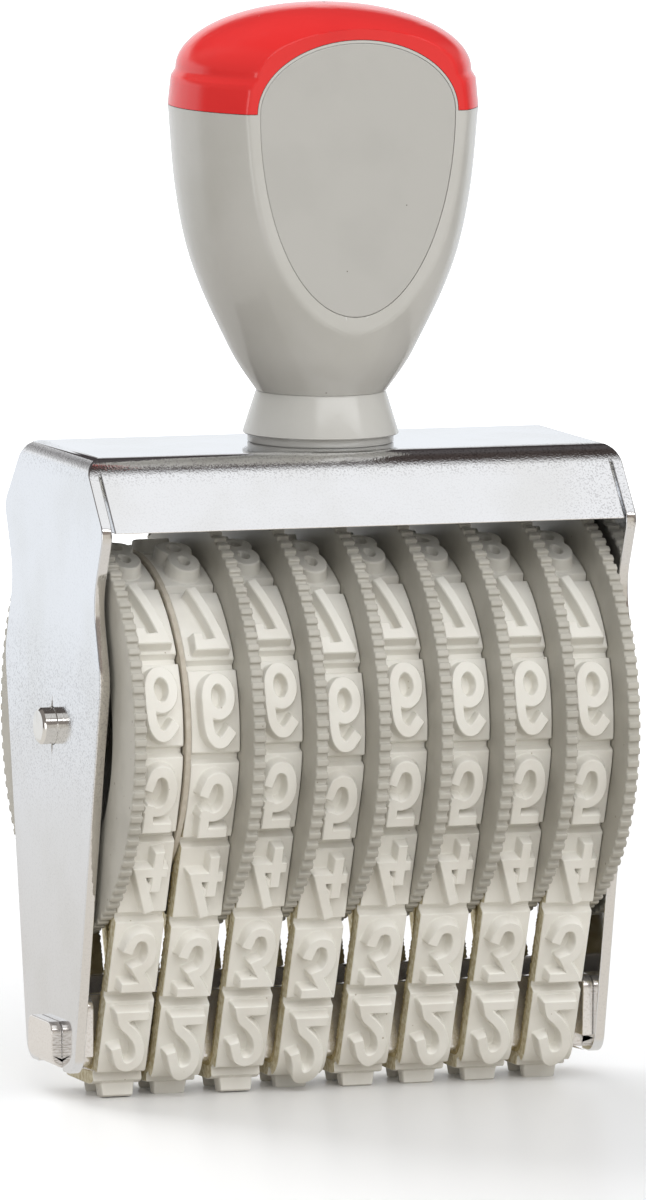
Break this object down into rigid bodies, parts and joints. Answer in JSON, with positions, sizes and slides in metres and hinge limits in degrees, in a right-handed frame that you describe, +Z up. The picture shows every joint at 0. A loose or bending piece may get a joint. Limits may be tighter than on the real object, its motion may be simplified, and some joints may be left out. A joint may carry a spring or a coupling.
{
  "type": "numbering machine",
  "caption": "Hand numbering machine with turnable bands of rubber digits on wheels in a plated sheet frame, with a moulded handle.",
  "frame": {"origin": "middle of the printed face, on the surface that the stamp stands on", "axes": "+Z up through the handle, +X along the axle, -Y towards the user's reading side"},
  "size_m": [0.0802, 0.057, 0.1471],
  "materials": {
    "chrome_plate": "bright plated, fine orange peel",
    "bright_steel": "turned, bright",
    "fibre": "matt",
    "grey_gloss": "moulded gloss",
    "red_gloss": "moulded gloss",
    "panel_grey": "satin",
    "wheel_grey": "moulded satin",
    "type_rubber": "matt, light grey",
    "woven_backing": "woven, olive brown",
    "brass": "turned"
  },
  "bodies": {
    "root": {"frame": "chrome_plate", "bridge": "chrome_plate", "axle": "bright_steel", "separator_disc": "fibre", "end_washer_left": "bright_steel", "end_washer_right": "bright_steel", "handle_body": "grey_gloss", "handle_cap": "red_gloss", "label_panel": "panel_grey", "handle_collar": "grey_gloss", "handle_screw": "bright_steel", "screw_washer": "bright_steel", "threaded_insert": "brass", "band_1": "type_rubber", "band_2": "type_rubber", "band_3": "type_rubber", "band_4": "type_rubber", "band_5": "type_rubber", "band_6": "type_rubber", "band_7": "type_rubber", "band_8": "type_rubber", "backing_1": "woven_backing", "backing_2": "woven_backing", "backing_3": "woven_backing", "backing_4": "woven_backing", "backing_5": "woven_backing", "backing_6": "woven_backing", "backing_7": "woven_backing", "backing_8": "woven_backing"},
    "wheel_1": {"wheel_1": "wheel_grey"},
    "wheel_2": {"wheel_2": "wheel_grey"},
    "wheel_3": {"wheel_3": "wheel_grey"},
    "wheel_4": {"wheel_4": "wheel_grey"},
    "wheel_5": {"wheel_5": "wheel_grey"},
    "wheel_6": {"wheel_6": "wheel_grey"},
    "wheel_7": {"wheel_7": "wheel_grey"},
    "wheel_8": {"wheel_8": "wheel_grey"}
  },
  "joints": [
    {"name": "wheel_1_turn", "type": "hinge", "parent": "root", "child": "wheel_1", "pos_m": [0, 0, 0.05015], "axis": [1, 0, 0], "continuous": true},
    {"name": "wheel_2_turn", "type": "hinge", "parent": "root", "child": "wheel_2", "pos_m": [0, 0, 0.05015], "axis": [1, 0, 0], "continuous": true},
    {"name": "wheel_3_turn", "type": "hinge", "parent": "root", "child": "wheel_3", "pos_m": [0, 0, 0.05015], "axis": [1, 0, 0], "continuous": true},
    {"name": "wheel_4_turn", "type": "hinge", "parent": "root", "child": "wheel_4", "pos_m": [0, 0, 0.05015], "axis": [1, 0, 0], "continuous": true},
    {"name": "wheel_5_turn", "type": "hinge", "parent": "root", "child": "wheel_5", "pos_m": [0, 0, 0.05015], "axis": [1, 0, 0], "continuous": true},
    {"name": "wheel_6_turn", "type": "hinge", "parent": "root", "child": "wheel_6", "pos_m": [0, 0, 0.05015], "axis": [1, 0, 0], "continuous": true},
    {"name": "wheel_7_turn", "type": "hinge", "parent": "root", "child": "wheel_7", "pos_m": [0, 0, 0.05015], "axis": [1, 0, 0], "continuous": true},
    {"name": "wheel_8_turn", "type": "hinge", "parent": "root", "child": "wheel_8", "pos_m": [0, 0, 0.05015], "axis": [1, 0, 0], "continuous": true}
  ]
}
